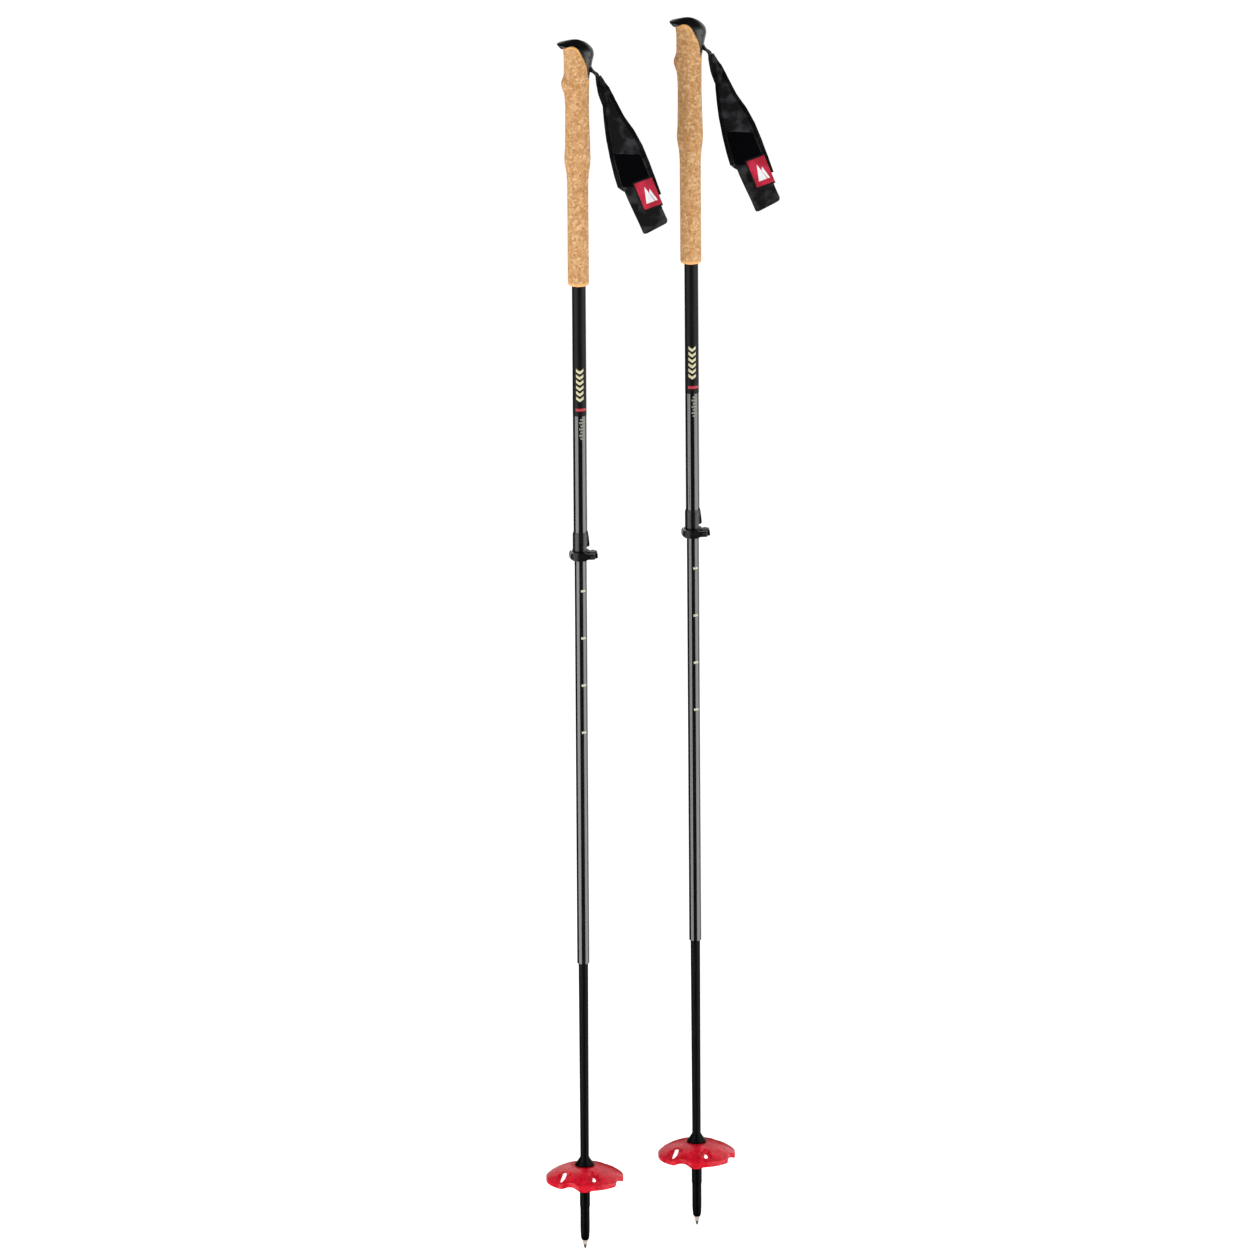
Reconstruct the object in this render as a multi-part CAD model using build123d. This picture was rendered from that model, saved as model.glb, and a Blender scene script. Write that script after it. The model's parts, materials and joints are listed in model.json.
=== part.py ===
"""A pair of two-section adjustable trekking poles, standing upright on their tips.

Every length is in millimetres.  One pole is modelled with its axis on Z and its
tip at the origin: the grip's beak points along -X and the strap hangs towards
+X.  The second pole is the same set of pieces, moved sideways.
"""
from build123d import *
import math
import os

# ---- driving dimensions -------------------------------------------------------
POLE_LENGTH = 1282.0            # tip to the top of the grip, as set
RIGHT_POLE = (114.0, 77.0, 0.0)  # where the second pole stands

UPPER_TUBE_R = 7.0
UPPER_BORE_R = 6.325
LOWER_TUBE_R = 6.25
LOWER_BORE_R = 5.25
TIP_TUBE_TOP_R = 4.9
TIP_TUBE_END_R = 4.4
TIP_TUBE_WALL = 1.0

UPPER_TUBE_LOW = 748.0          # lower end of the upper tube, inside the lock
UPPER_TUBE_HIGH = 1240.0        # upper end, inside the cork
LOWER_TUBE_LOW = 304.6          # where the lower tube steps down to the tip tube
LOWER_TUBE_HIGH = 955.0         # upper end, inside the upper tube
TIP_TUBE_LOW = 62.0
SPLICE_LENGTH = 40.0            # how far the tip tube reaches into the lower tube
RUNNING = 0.05                  # radial clearance of turning and sliding fits

# lock
LOCK_MID = 738.0                # height of the tension screw
LOCK_HEIGHT = 8.8
LOCK_LOW = LOCK_MID - LOCK_HEIGHT / 2
LOCK_HIGH = LOCK_MID + LOCK_HEIGHT / 2
SLEEVE_R = 8.0
SLEEVE_HIGH = 762.5
COLLET_R = 7.4
BAND_R = 9.0
WINDOW_HALF = 5.2               # half the width of the sleeve's cut-out above the ears
FIN_HALF = 2.6                  # half the thickness of the sleeve's thumb fin
FIN_LOW = UPPER_TUBE_LOW - 1
FIN_HIGH = SLEEVE_HIGH + 0.8
FIN_REACH = 9.0
EAR_ROOT = 7.6
EAR_REACH = 17.9                # how far the ears stand out from the pole's axis, at the bottom
EAR_TOP_REACH = 16.4
EAR_FACE = 3.6                  # outer face of each ear, in Y
EAR_GAP = 0.8                   # half of the slit between the ears
EAR_HEIGHT = 6.8
SCREW_X = 12.2
SCREW_R = 1.5
PLATE_THICKNESS = 0.9
PIN_Y = -7.7                    # the lever's pin, in front of the ears
PIN_R = 1.25
CAM_R = 2.85
CAM_THROW = 0.3                 # how far the cam's middle stands off the pin
LEVER_IN_R = 9.4
LEVER_OUT_R = 11.3
LEVER_END = -11.8               # the lever's free end, in X
HEAD_HEIGHT = 5.6               # the lever's cam head, slimmer than its arm
EYE_R = 2.6                     # the screw's eye, which the pin goes through
EYE_HEIGHT = 2.8
WASHER_THICKNESS = 0.6
NUT_R = 3.0
NUT_FACE = 7.4                  # the thumb nut's outer face, in Y
NUT_GROOVES = 10

# tip
FERRULE_R = 5.2
FOOT_SEAT_R = 4.75              # straight seat that takes a push-on rubber foot
FOOT_SEAT = (20.0, 44.0)
COLLAR_R = 9.9
COLLAR_LOW = 89.2
COLLAR_RIM = 90.5
COLLAR_HIGH = 97.7
HOLDER_LOW = 4.8
HOLDER_HIGH = 9.2
HOLDER_LOW_R, HOLDER_HIGH_R = 1.9, 2.9
STEM_R = 1.9
STEM_HIGH = 28.0
CARBIDE_R = 1.5
CARBIDE_STEM_R = 0.9

# basket
BASKET_R = 39.3
BASKET_WALL = 2.2
DOME_CROWN = 89.2               # where the domed top would meet the pole's axis
FRONT_LOBE = -68.0              # middle of the front lobe, in degrees from +X
FRONT_HOLE = -72.0              # the round hole in it, a little off its middle
LOBES = 4
NOTCH_R = 16.0
NOTCH_CENTRE = 52.1
RIM_DEPTH = 5.0                 # height of the thickened edge
RIM_WIDTH = 2.4
LOBE_CORNER_R = 6.0
DOME_SHOULDER = (24.0, -2.9)    # a point of the domed top, from its crown
DOME_SKIRT = (41.0, -13.0)
HUB_LOW = 61.2
HUB_HIGH = COLLAR_LOW - 0.3
HOLE_RING_R = 28.5              # from the pole's axis to the middle of each hole
HOLE_SIZE = (6.6, 4.6)          # along and across
HOLE_DISH = (15.5, 10.5)
SLOT_RING_R = 30.0
SLOT_SIZE = (15.0, 4.2)
SLOT_DISH = (15.0, 10.0)
SLOT_SPREAD = 65.0              # degrees from the front hole round to the first slot
SLOT_SKEW = 32.0                # degrees between the slot and the spoke through it
DISH_DEPTH = 2.4
DISH_WALL = 1.6

# grip
CORK_LOW = 1023.5
PLUG_FLANGE_R = 8.0
PLUG_FLANGE_HIGH = 1246.0
PLUG_POST_R = 6.0
PLUG_HIGH = 1278.0
PLUG_LOW = 1205.0

# strap
EXIT_X, EXIT_Z = 14.6, 1251.5   # where the webbing leaves the pommel
STRAP_LENGTH = 184.0
STRAP_LEAN = 20.6               # degrees from vertical
STRAP_TWIST = 88.0              # degrees that it turns through on its way down
STRAP_BOW = 3.6                 # how far the strap's top stands out from that lean
TURNED_AT = 0.38                # share of the length where it has turned to face the front
WEBBING_THICKNESS = 1.6
CUFF_THICKNESS = 3.0
FRONT_BAND_HALF_WIDTH = 14.2
FOLD_SHARE = 0.965              # share of the length where the webbing folds back
CUFF_END = 0.73                 # share of the strap's length
EXIT_HALF_WIDTH = 6.2
KNUCKLE_R = 1.25
STRAP_PIN_X, STRAP_PIN_Z, STRAP_PIN_R = 11.0, 1265.5, 1.5
LABEL_SIZE = (21.0, 29.0, 0.6)
LABEL_ALONG, LABEL_ACROSS = 140.0, 5.3
LABEL_SLICES = 5


def rod(radius, low, high):
    """A round bar on the pole's axis."""
    return Pos(0, 0, (low + high) / 2) * Cylinder(radius, high - low)


def tube(outer, inner, low, high):
    return rod(outer, low, high) - rod(inner, low, high)


def cross_rod(radius, x, z, near, far):
    """A round bar along Y, from near to far."""
    return Pos(x, (near + far) / 2, z) * Rot(90, 0, 0) * Cylinder(radius, far - near)


def block(x, y, z):
    """A box given by its limits along each axis."""
    centre = [(pair[0] + pair[1]) / 2 for pair in (x, y, z)]
    return Pos(*centre) * Box(x[1] - x[0], y[1] - y[0], z[1] - z[0])


def turned(*points):
    """A solid of revolution from its half outline, given as radius and height."""
    outline = Polyline(*[(r, 0, z) for r, z in points], close=True)
    return revolve(make_face(outline), Axis.Z)


# ---- upper section -------------------------------------------------------------
def upper_shaft():
    return tube(UPPER_TUBE_R, UPPER_BORE_R, UPPER_TUBE_LOW, UPPER_TUBE_HIGH)


def slopes(heights, values):
    """The slope at each station of a smooth curve that never swings past its stations."""
    rises = [
        (values[i + 1] - values[i]) / (heights[i + 1] - heights[i]) for i in range(len(heights) - 1)
    ]
    inner = [
        2 * a * b / (a + b) if a * b > 0 else 0.0 for a, b in zip(rises, rises[1:])
    ]
    return [rises[0]] + inner + [rises[-1]]


def between(heights, values, z):
    """The smooth curve through the stations, read at height z."""
    steep = slopes(heights, values)
    i = max(k for k in range(len(heights) - 1) if heights[k] <= z)
    span = heights[i + 1] - heights[i]
    t = (z - heights[i]) / span
    return (values[i] * (1 + 2 * t) * (1 - t) ** 2 + values[i + 1] * t * t * (3 - 2 * t)
            + span * t * (1 - t) * (steep[i] * (1 - t) - steep[i + 1] * t))


def oval_body(stations, slices):
    """A smooth upright body of oval slices.

    Each station is a height, the front and rear edges in X, and half the depth.
    """
    heights, fronts, rears, depths = zip(*stations)
    ovals = []
    for step in range(slices + 1):
        z = heights[0] + (heights[-1] - heights[0]) * step / slices
        front, rear, depth = (between(heights, edge, z) for edge in (fronts, rears, depths))
        ovals.append(Pos((front + rear) / 2, 0, z) * Ellipse((rear - front) / 2, depth))
    return loft(ovals, ruled=True)


def cork_side():
    """Everything below and in front of the seam between the cork and the pommel."""
    seam = Spline(
        (-17.5, 1272.6), (-10.5, 1276.3), (-5.5, 1277.5), (-1.4, 1276.4), (2.7, 1272.4),
        (6.3, 1265.6), (8.6, 1260.6), (10.0, 1255.0), (10.6, 1247.5), (11.0, 1239.0),
    )
    rest = Polyline((11.0, 1239.0), (40, 1239.0), (40, 1000), (-40, 1000), (-40, 1272.6), (-17.5, 1272.6))
    region = make_face(Plane.XZ * (seam + rest))
    return extrude(region, 40, both=True)


def cork_grip():
    extension = Pos(-0.4, 0, 0) * rod(10.7, CORK_LOW, 1130.0)
    handle = oval_body([
        (1130.0, -11.1, 10.3, 10.7),
        (1141.0, -11.8, 11.1, 11.2),
        (1156.0, -13.9, 12.8, 12.4),
        (1168.0, -13.1, 12.5, 12.2),
        (1208.0, -12.7, 11.6, 12.0),
        (1223.0, -13.4, 11.7, 12.2),
        (1235.5, -16.8, 12.0, 12.6),
        (1246.0, -13.8, 12.6, 12.6),
        (1262.0, -13.8, 13.0, 13.0),
        (1284.0, -16.8, 13.0, 13.0),
    ], 40)
    grip = extension + (handle & cork_side())
    grip -= rod(UPPER_TUBE_R, CORK_LOW - 1, UPPER_TUBE_HIGH)
    grip -= rod(PLUG_FLANGE_R, UPPER_TUBE_HIGH, PLUG_FLANGE_HIGH)
    grip -= rod(PLUG_POST_R, PLUG_FLANGE_HIGH, POLE_LENGTH)
    rim = grip.edges().group_by(Axis.Z)[0].sort_by(SortBy.LENGTH)[-1]
    return chamfer(rim, 1.0)


def pommel_cap():
    body = oval_body([
        (1240.5, -13.0, 11.8, 12.4),
        (1252.0, -14.0, 14.0, 13.2),
        (1260.0, -14.6, 15.5, 13.8),
        (1266.5, -15.0, 16.8, 14.0),
        (1270.5, -15.5, 16.2, 13.8),
        (1274.5, -18.6, 13.6, 13.0),
        (1277.6, -20.9, 10.2, 10.6),
        (1279.6, -15.5, 7.0, 6.4),
        (1281.0, -10.0, 3.6, 3.8),
        (POLE_LENGTH, -5.0, 0.5, 1.0),
    ], 36)
    cap = body - cork_side()
    cap -= rod(PLUG_POST_R, PLUG_FLANGE_HIGH, PLUG_HIGH)
    cap -= strap_pocket()
    cap -= cross_rod(STRAP_PIN_R, STRAP_PIN_X, STRAP_PIN_Z, -10.0, 10.0)
    return cap


def strap_pocket():
    """The chamber round the strap's pin, and the slot where the webbing leaves."""
    half = EXIT_HALF_WIDTH + 0.3
    chamber = block((7.0, 14.0), (-half, half), (1261.5, 1269.5))
    channel = block((9.0, 12.9), (-half, half), (1249.6, 1262))
    slot = block((9.0, 20.0), (-half, half), (EXIT_Z - 1.9, EXIT_Z + 1.9))
    return chamber + channel + slot


def grip_plug():
    return (rod(UPPER_BORE_R, PLUG_LOW, UPPER_TUBE_HIGH)
            + rod(PLUG_FLANGE_R, UPPER_TUBE_HIGH, PLUG_FLANGE_HIGH)
            + rod(PLUG_POST_R, PLUG_FLANGE_HIGH, PLUG_HIGH))


def strap_pin():
    return cross_rod(STRAP_PIN_R, STRAP_PIN_X, STRAP_PIN_Z, -10.0, 10.0)


def strap_anchor():
    """The inner end of the webbing: from the slot up to its loop round the pin."""
    half = EXIT_HALF_WIDTH - 0.2
    loop = cross_rod(STRAP_PIN_R + 1.3, STRAP_PIN_X, STRAP_PIN_Z, -half, half)
    plies = block((10.75, 12.45), (-half, half), (EXIT_Z - 1.2, STRAP_PIN_Z))
    foot = block((11.2, 12.9), (-half, half), (EXIT_Z - 1.2, EXIT_Z + 1.2))
    return loop + plies + foot - strap_pin()


# ---- lock ------------------------------------------------------------------------
def lock_sleeve():
    body = turned(
        (LOWER_TUBE_R + RUNNING, LOCK_LOW), (COLLET_R, LOCK_LOW), (COLLET_R, LOCK_HIGH + 0.4),
        (SLEEVE_R, LOCK_HIGH + 0.8), (SLEEVE_R, SLEEVE_HIGH - 3), (UPPER_TUBE_R + 0.2, SLEEVE_HIGH),
        (UPPER_TUBE_R, SLEEVE_HIGH), (UPPER_TUBE_R, UPPER_TUBE_LOW), (LOWER_TUBE_R + RUNNING, UPPER_TUBE_LOW),
    )
    out = BAND_R + 3
    window = block((0, out), (-WINDOW_HALF, WINDOW_HALF), (LOCK_HIGH + 0.4, FIN_LOW))
    slit = block((0, out), (-EAR_GAP, EAR_GAP), (LOCK_LOW - 1, FIN_LOW))
    return body - window - slit + sleeve_fin()


def sleeve_fin():
    """The thumb fin on the sleeve's side, deepest just above the clamp."""
    root, top = (SLEEVE_R - 0.6, FIN_LOW), (UPPER_TUBE_R + 0.2, FIN_HIGH)
    widest = (FIN_REACH, FIN_LOW + 2.6)
    outer = ThreePointArc(top, (FIN_REACH - 0.5, FIN_HIGH - 8), widest)
    heel = ThreePointArc(widest, (FIN_REACH - 0.3, FIN_LOW + 0.6), root)
    fin = make_face(Plane.XZ * (Polyline(root, top) + outer + heel))
    return extrude(fin, FIN_HALF, both=True)


def ear_slab(near, far, root, inset, corner):
    """A slab with the ears' outline, from near to far in Y: its outer end slants."""
    low, high = LOCK_MID - EAR_HEIGHT / 2 + inset, LOCK_MID + EAR_HEIGHT / 2 - inset
    outline = Polyline((root, low), (EAR_REACH - inset, low), (EAR_TOP_REACH - inset, high), (root, high),
                       close=True)
    slab = Pos(0, far, 0) * extrude(make_face(Plane.XZ * outline), far - near)
    return fillet(slab.edges().filter_by(Axis.Y).sort_by(Axis.X)[-2:], corner)


def clamp_band():
    ring = tube(BAND_R, COLLET_R + 0.02, LOCK_LOW, LOCK_HIGH)
    ears = ear_slab(-EAR_FACE, EAR_FACE, EAR_ROOT, 0, 1.4)
    gap = block((0, EAR_REACH + 1), (-EAR_GAP, EAR_GAP), (LOCK_LOW - 1, LOCK_HIGH + 1))
    screw_hole = cross_rod(SCREW_R + 0.1, SCREW_X, LOCK_MID, -EAR_FACE - 1, EAR_FACE + 1)
    return ring + ears - rod(COLLET_R + 0.02, LOCK_LOW - 1, LOCK_HIGH + 1) - gap - screw_hole


def cam_plate():
    """The steel plate that the lever's cam bears on."""
    plate = ear_slab(-EAR_FACE - PLATE_THICKNESS, -EAR_FACE, BAND_R + 0.4, 0.4, 1.2)
    return plate - cross_rod(SCREW_R + 0.1, SCREW_X, LOCK_MID, -EAR_FACE - 3, EAR_FACE)


def lever_outline():
    """The lever seen from above: a cam head, a bridge and an arm that wraps round the front."""
    head = Pos(SCREW_X, PIN_Y + CAM_THROW) * Circle(CAM_R)
    bridge = make_face(Polyline(
        (SCREW_X - 0.6, PIN_Y - CAM_R + 0.4), (2.0, -LEVER_OUT_R + 0.2), (3.6, -LEVER_IN_R + 0.7),
        (SCREW_X - CAM_R + 0.4, PIN_Y + 1.2), close=True))
    ring = Circle(LEVER_OUT_R) - Circle(LEVER_IN_R)
    front = Pos(-4.5, -7.0) * Rectangle(17, 14)
    return bridge + (ring & front) + head


def lever_sides():
    """The lever seen from the front: a rounded free end, and a slimmer cam head."""
    half, slim, far = LOCK_HEIGHT / 2, HEAD_HEIGHT / 2, SCREW_X + 4
    shoulder = LEVER_END + half
    edge = Polyline((shoulder, half), (4, half), (8, slim), (far, slim), (far, -slim), (8, -slim),
                    (4, -half), (shoulder, -half))
    end = ThreePointArc((shoulder, -half), (LEVER_END, 0), (shoulder, half))
    return Pos(0, 0, LOCK_MID) * extrude(make_face(Plane.XZ * (edge + end)), 20, both=True)


def lock_lever():
    arm = Pos(0, 0, LOCK_LOW) * extrude(lever_outline(), LOCK_HEIGHT)
    arm += finger_tab()
    arm -= Pos(SCREW_X, PIN_Y, LOCK_MID) * Cylinder(EYE_R + 0.6, EYE_HEIGHT + 0.4)
    arm -= Pos(SCREW_X, PIN_Y, LOCK_MID) * Cylinder(PIN_R, 2 * LOCK_HEIGHT)
    return arm & lever_sides()


def finger_tab():
    """The lever's free end, thickened for a finger."""
    tab = block((LEVER_END, -LEVER_IN_R), (-4.2, 4.2), (LOCK_LOW, LOCK_HIGH))
    return tab - rod(LEVER_IN_R, LOCK_LOW - 1, LOCK_HIGH + 1)


def lever_pin():
    return Pos(SCREW_X, PIN_Y, LOCK_MID) * Cylinder(PIN_R, HEAD_HEIGHT)


def tension_screw():
    eye = Pos(SCREW_X, PIN_Y, LOCK_MID) * Cylinder(EYE_R, EYE_HEIGHT)
    shank = cross_rod(SCREW_R, SCREW_X, LOCK_MID, PIN_Y + 1, NUT_FACE + 0.8)
    return eye + shank - Pos(SCREW_X, PIN_Y, LOCK_MID) * Cylinder(PIN_R + RUNNING, 10)


def tension_washer():
    face = EAR_FACE + WASHER_THICKNESS
    return (cross_rod(NUT_R + 0.2, SCREW_X, LOCK_MID, EAR_FACE, face)
            - cross_rod(SCREW_R + 0.1, SCREW_X, LOCK_MID, EAR_FACE - 1, face + 1))


def tension_nut():
    """The knurled thumb nut that sets how hard the lever grips."""
    near = EAR_FACE + WASHER_THICKNESS + 0.1
    nut = cross_rod(NUT_R, SCREW_X, LOCK_MID, near, NUT_FACE)
    nut = chamfer(nut.edges(), 0.4)
    for step in range(NUT_GROOVES):
        turn = 2 * math.pi * step / NUT_GROOVES
        x = SCREW_X + (NUT_R + 0.2) * math.cos(turn)
        z = LOCK_MID + (NUT_R + 0.2) * math.sin(turn)
        nut -= cross_rod(0.45, x, z, near - 1, NUT_FACE + 1)
    return nut - cross_rod(SCREW_R + RUNNING, SCREW_X, LOCK_MID, near - 1, NUT_FACE + 1)


# ---- lower section -----------------------------------------------------------------
def lower_shaft():
    return tube(LOWER_TUBE_R, LOWER_BORE_R, LOWER_TUBE_LOW, LOWER_TUBE_HIGH)


def guide_bush():
    """The plug in the lower tube's top, which guides it inside the upper tube."""
    head = rod(UPPER_BORE_R - RUNNING, LOWER_TUBE_HIGH, LOWER_TUBE_HIGH + 8)
    head = chamfer(head.edges().group_by(Axis.Z)[-1], 0.8)
    return head + rod(LOWER_BORE_R, LOWER_TUBE_HIGH - 14, LOWER_TUBE_HIGH)


def reducer_bush():
    """The sleeve that centres the tip tube in the end of the lower tube."""
    return tube(LOWER_BORE_R, TIP_TUBE_TOP_R, LOWER_TUBE_LOW, LOWER_TUBE_LOW + SPLICE_LENGTH)


def tip_tube():
    high = LOWER_TUBE_LOW + SPLICE_LENGTH
    return turned(
        (TIP_TUBE_END_R - TIP_TUBE_WALL, TIP_TUBE_LOW), (TIP_TUBE_END_R, TIP_TUBE_LOW),
        (TIP_TUBE_END_R, COLLAR_HIGH), (TIP_TUBE_TOP_R, LOWER_TUBE_LOW), (TIP_TUBE_TOP_R, high),
        (TIP_TUBE_TOP_R - TIP_TUBE_WALL, high), (TIP_TUBE_TOP_R - TIP_TUBE_WALL, LOWER_TUBE_LOW),
        (TIP_TUBE_END_R - TIP_TUBE_WALL, COLLAR_HIGH),
    )


def tip_ferrule():
    """The moulded tip: a collar above the basket, and a tapering nose below it."""
    body = turned(
        (0, HOLDER_HIGH), (3.0, HOLDER_HIGH), (3.8, HOLDER_HIGH + 1), (4.3, HOLDER_HIGH + 3.4),
        (FOOT_SEAT_R, FOOT_SEAT[0]),
        (FOOT_SEAT_R, FOOT_SEAT[1]), (FERRULE_R, FOOT_SEAT[1] + 1.5), (FERRULE_R, COLLAR_LOW),
        (COLLAR_R, COLLAR_LOW), (COLLAR_R, COLLAR_RIM), (7.6, COLLAR_RIM + 2.6),
        (5.6, COLLAR_HIGH - 1.6), (TIP_TUBE_END_R + 0.35, COLLAR_HIGH), (0, COLLAR_HIGH),
    )
    return body - rod(TIP_TUBE_END_R, TIP_TUBE_LOW, COLLAR_HIGH + 1) - holder_stem()


def holder_stem():
    return rod(STEM_R, HOLDER_HIGH, STEM_HIGH)


def tip_holder():
    """The steel cone that carries the hard point, with its stem up inside the ferrule."""
    cone = turned((0, HOLDER_LOW), (HOLDER_LOW_R, HOLDER_LOW), (HOLDER_HIGH_R, HOLDER_HIGH), (0, HOLDER_HIGH))
    return cone + holder_stem() - rod(CARBIDE_STEM_R, HOLDER_LOW, HOLDER_LOW + 6)


def carbide_tip():
    return turned(
        (0, 0), (0.55, 0.25), (1.1, 1.6), (CARBIDE_R, 3.4), (CARBIDE_R, HOLDER_LOW),
        (CARBIDE_STEM_R, HOLDER_LOW), (CARBIDE_STEM_R, HOLDER_LOW + 6), (0, HOLDER_LOW + 6),
    )


# ---- basket ------------------------------------------------------------------------
def dome(drop):
    """Everything under the basket's domed top, lowered by drop."""
    base, top = HUB_LOW - 10, DOME_CROWN - drop
    crown = (0, 0, top)
    shoulder = (DOME_SHOULDER[0], 0, top + DOME_SHOULDER[1])
    skirt = (DOME_SKIRT[0], 0, top + DOME_SKIRT[1])
    rest = Polyline(skirt, (DOME_SKIRT[0], 0, base), (0, 0, base), crown)
    return revolve(make_face(ThreePointArc(crown, shoulder, skirt) + rest), Axis.Z)


def upright(outline):
    """The space above and below an outline, up to the top of the hub."""
    low = HUB_LOW - 10
    return Pos(0, 0, low) * extrude(outline, HUB_HIGH - low)


def lobed_outline(inset=0.0):
    """The basket seen from above: a circle with shallow notches between its lobes."""
    radius = BASKET_R - inset
    outline = Sketch() + Circle(radius)
    for notch in PolarLocations(NOTCH_CENTRE, LOBES, FRONT_LOBE + 180 / LOBES):
        outline -= notch * Circle(NOTCH_R + inset)
    corners = [v for v in outline.vertices()
               if abs(math.hypot(v.X, v.Y) - radius) < 0.01 and abs(v.Y) > 0.001]
    return fillet(corners, LOBE_CORNER_R - inset)


def pair(size, ring_r, first_angle, skew=0.0):
    """Two rounded outlines on opposite sides of the basket, seen from above."""
    outlines = Sketch()
    for place in PolarLocations(ring_r, 2, first_angle):
        outlines += place * Rot(0, 0, skew) * SlotOverall(*size)
    return outlines


def holes(size):
    return pair(size, HOLE_RING_R, FRONT_HOLE)


def slots(size, skew):
    return pair(size, SLOT_RING_R, FRONT_HOLE - SLOT_SPREAD, skew)


def widened(size):
    """A dish's size with the wall round it."""
    return size[0] + 2 * DISH_WALL, size[1] + 2 * DISH_WALL


def powder_basket():
    across = SLOT_SKEW + 90     # each slot's dish lies across it
    dishes = holes(HOLE_DISH) + slots(SLOT_DISH, across)
    rims = holes(widened(HOLE_DISH)) + slots(widened(SLOT_DISH), across)
    web = (dome(0) - dome(RIM_DEPTH)) & upright(lobed_outline())
    web -= dome(BASKET_WALL) & upright(lobed_outline(RIM_WIDTH))
    web += (dome(0) - dome(DISH_DEPTH + DISH_WALL)) & upright(rims) & upright(lobed_outline())
    web -= (dome(-1) - dome(DISH_DEPTH)) & upright(dishes)
    hub = turned(
        (0, HUB_LOW), (6.9, HUB_LOW), (7.6, HUB_LOW + 6), (8.6, HUB_LOW + 17),
        (11.0, HUB_HIGH - 2.6), (9.0, HUB_HIGH), (0, HUB_HIGH),
    )
    through = holes(HOLE_SIZE) + slots(SLOT_SIZE, SLOT_SKEW)
    return web + hub - upright(through) - rod(FERRULE_R + RUNNING, HUB_LOW - 1, HUB_HIGH + 1)


# ---- strap --------------------------------------------------------------------------
def strap_frame(along):
    """The strap's own directions: along it, across it, and out of its front face.

    The webbing leaves the pommel flat, and turns to face the front as it comes down.
    """
    lean = math.radians(STRAP_LEAN)
    down = Vector(math.sin(lean), 0, -math.cos(lean))
    side = Vector(math.cos(lean), 0, math.sin(lean))
    share = min(1.0, along / (TURNED_AT * STRAP_LENGTH))
    twist = math.radians(STRAP_TWIST) * (1 - math.sin(share * math.pi / 2)) ** 1.2
    across = side * math.cos(twist) + Vector(0, math.sin(twist), 0)
    out = side * math.sin(twist) - Vector(0, math.cos(twist), 0)
    return down, across, out


def eased(value, low, high):
    """0 below low, 1 above high, and a smooth step between."""
    t = min(1.0, max(0.0, (value - low) / (high - low)))
    return t * t * (3 - 2 * t)


def strap_middle(along):
    """The middle of the strap: it swings out from the pommel, then comes back to its lean."""
    lean = math.radians(STRAP_LEAN)
    share = along / STRAP_LENGTH
    bow = STRAP_BOW * eased(share, -0.01, 0.055) * (1 - 0.75 * eased(share, 0.35, 0.72))
    down = Vector(math.sin(lean), 0, -math.cos(lean)) * along
    return Vector(EXIT_X, 0, EXIT_Z) + down + Vector(math.cos(lean), 0, math.sin(lean)) * bow


def loop_gap(along):
    """Half of the room between the strap's two legs."""
    share = along / STRAP_LENGTH
    return 1.0 + 1.4 * share + 7.2 * math.sin(math.pi * share)


def strap_slice(along, offset, half_width, thickness, turn=0.0, sideways=0.0):
    """A cross-section of the strap; turn tips it about its own width."""
    down, across, out = strap_frame(along)
    centre = strap_middle(along) + out * offset + across * sideways
    tip = math.radians(turn)
    heading = down * math.cos(tip) + out * math.sin(tip)
    return Plane(origin=centre, x_dir=across, z_dir=heading) * Rectangle(2 * half_width, thickness)


def strap_webbing():
    """The webbing: its end at the pommel, the rear leg, the fold and the front band."""
    slices = [
        strap_slice(s * STRAP_LENGTH, -loop_gap(s * STRAP_LENGTH), EXIT_HALF_WIDTH + 7.8 * s,
                    WEBBING_THICKNESS)
        for s in (0.045, 0.15, 0.30, 0.45, 0.60, 0.80, FOLD_SHARE)
    ]
    fold = FOLD_SHARE * STRAP_LENGTH
    radius = loop_gap(fold)
    for turn in (45, 90, 135):
        reach = radius * math.sin(math.radians(turn))
        offset = -radius * math.cos(math.radians(turn))
        slices.append(strap_slice(fold + reach, offset, FRONT_BAND_HALF_WIDTH - 0.2, WEBBING_THICKNESS, turn))
    for s in (FOLD_SHARE, 0.85, CUFF_END + 0.005):
        slices.append(strap_slice(s * STRAP_LENGTH, loop_gap(s * STRAP_LENGTH) + 0.65,
                                  FRONT_BAND_HALF_WIDTH, WEBBING_THICKNESS, 180))
    root = loft([
        strap_slice(0.0, 0, EXIT_HALF_WIDTH, 2 * KNUCKLE_R),
        strap_slice(0.047 * STRAP_LENGTH, -0.2, EXIT_HALF_WIDTH + 0.3, 4.4),
    ], ruled=True)
    return loft(slices, ruled=True) + root + cross_rod(
        KNUCKLE_R, EXIT_X, EXIT_Z, -EXIT_HALF_WIDTH, EXIT_HALF_WIDTH)


def strap_cuff():
    """The padded front leg, which widens to the part that bears on the wrist."""
    widths = [(0.049, 6.4), (0.12, 7.0), (0.21, 8.8), (0.31, 11.6), (0.41, 15.4), (0.50, 17.2),
              (0.60, 18.4), (CUFF_END, 19.2)]
    return loft([
        strap_slice(s * STRAP_LENGTH, loop_gap(s * STRAP_LENGTH), half, CUFF_THICKNESS)
        for s, half in widths
    ], ruled=True)


def strap_label():
    """The sewn-on label, which follows the cuff's face."""
    width, length, thickness = LABEL_SIZE
    lift = CUFF_THICKNESS / 2 + 0.05 + thickness / 2
    slices = []
    for step in range(LABEL_SLICES + 1):
        along = LABEL_ALONG + length * (step / LABEL_SLICES - 0.5)
        slices.append(strap_slice(along, loop_gap(along) + lift, width / 2, thickness, 0, LABEL_ACROSS))
    return loft(slices, ruled=True)


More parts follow.
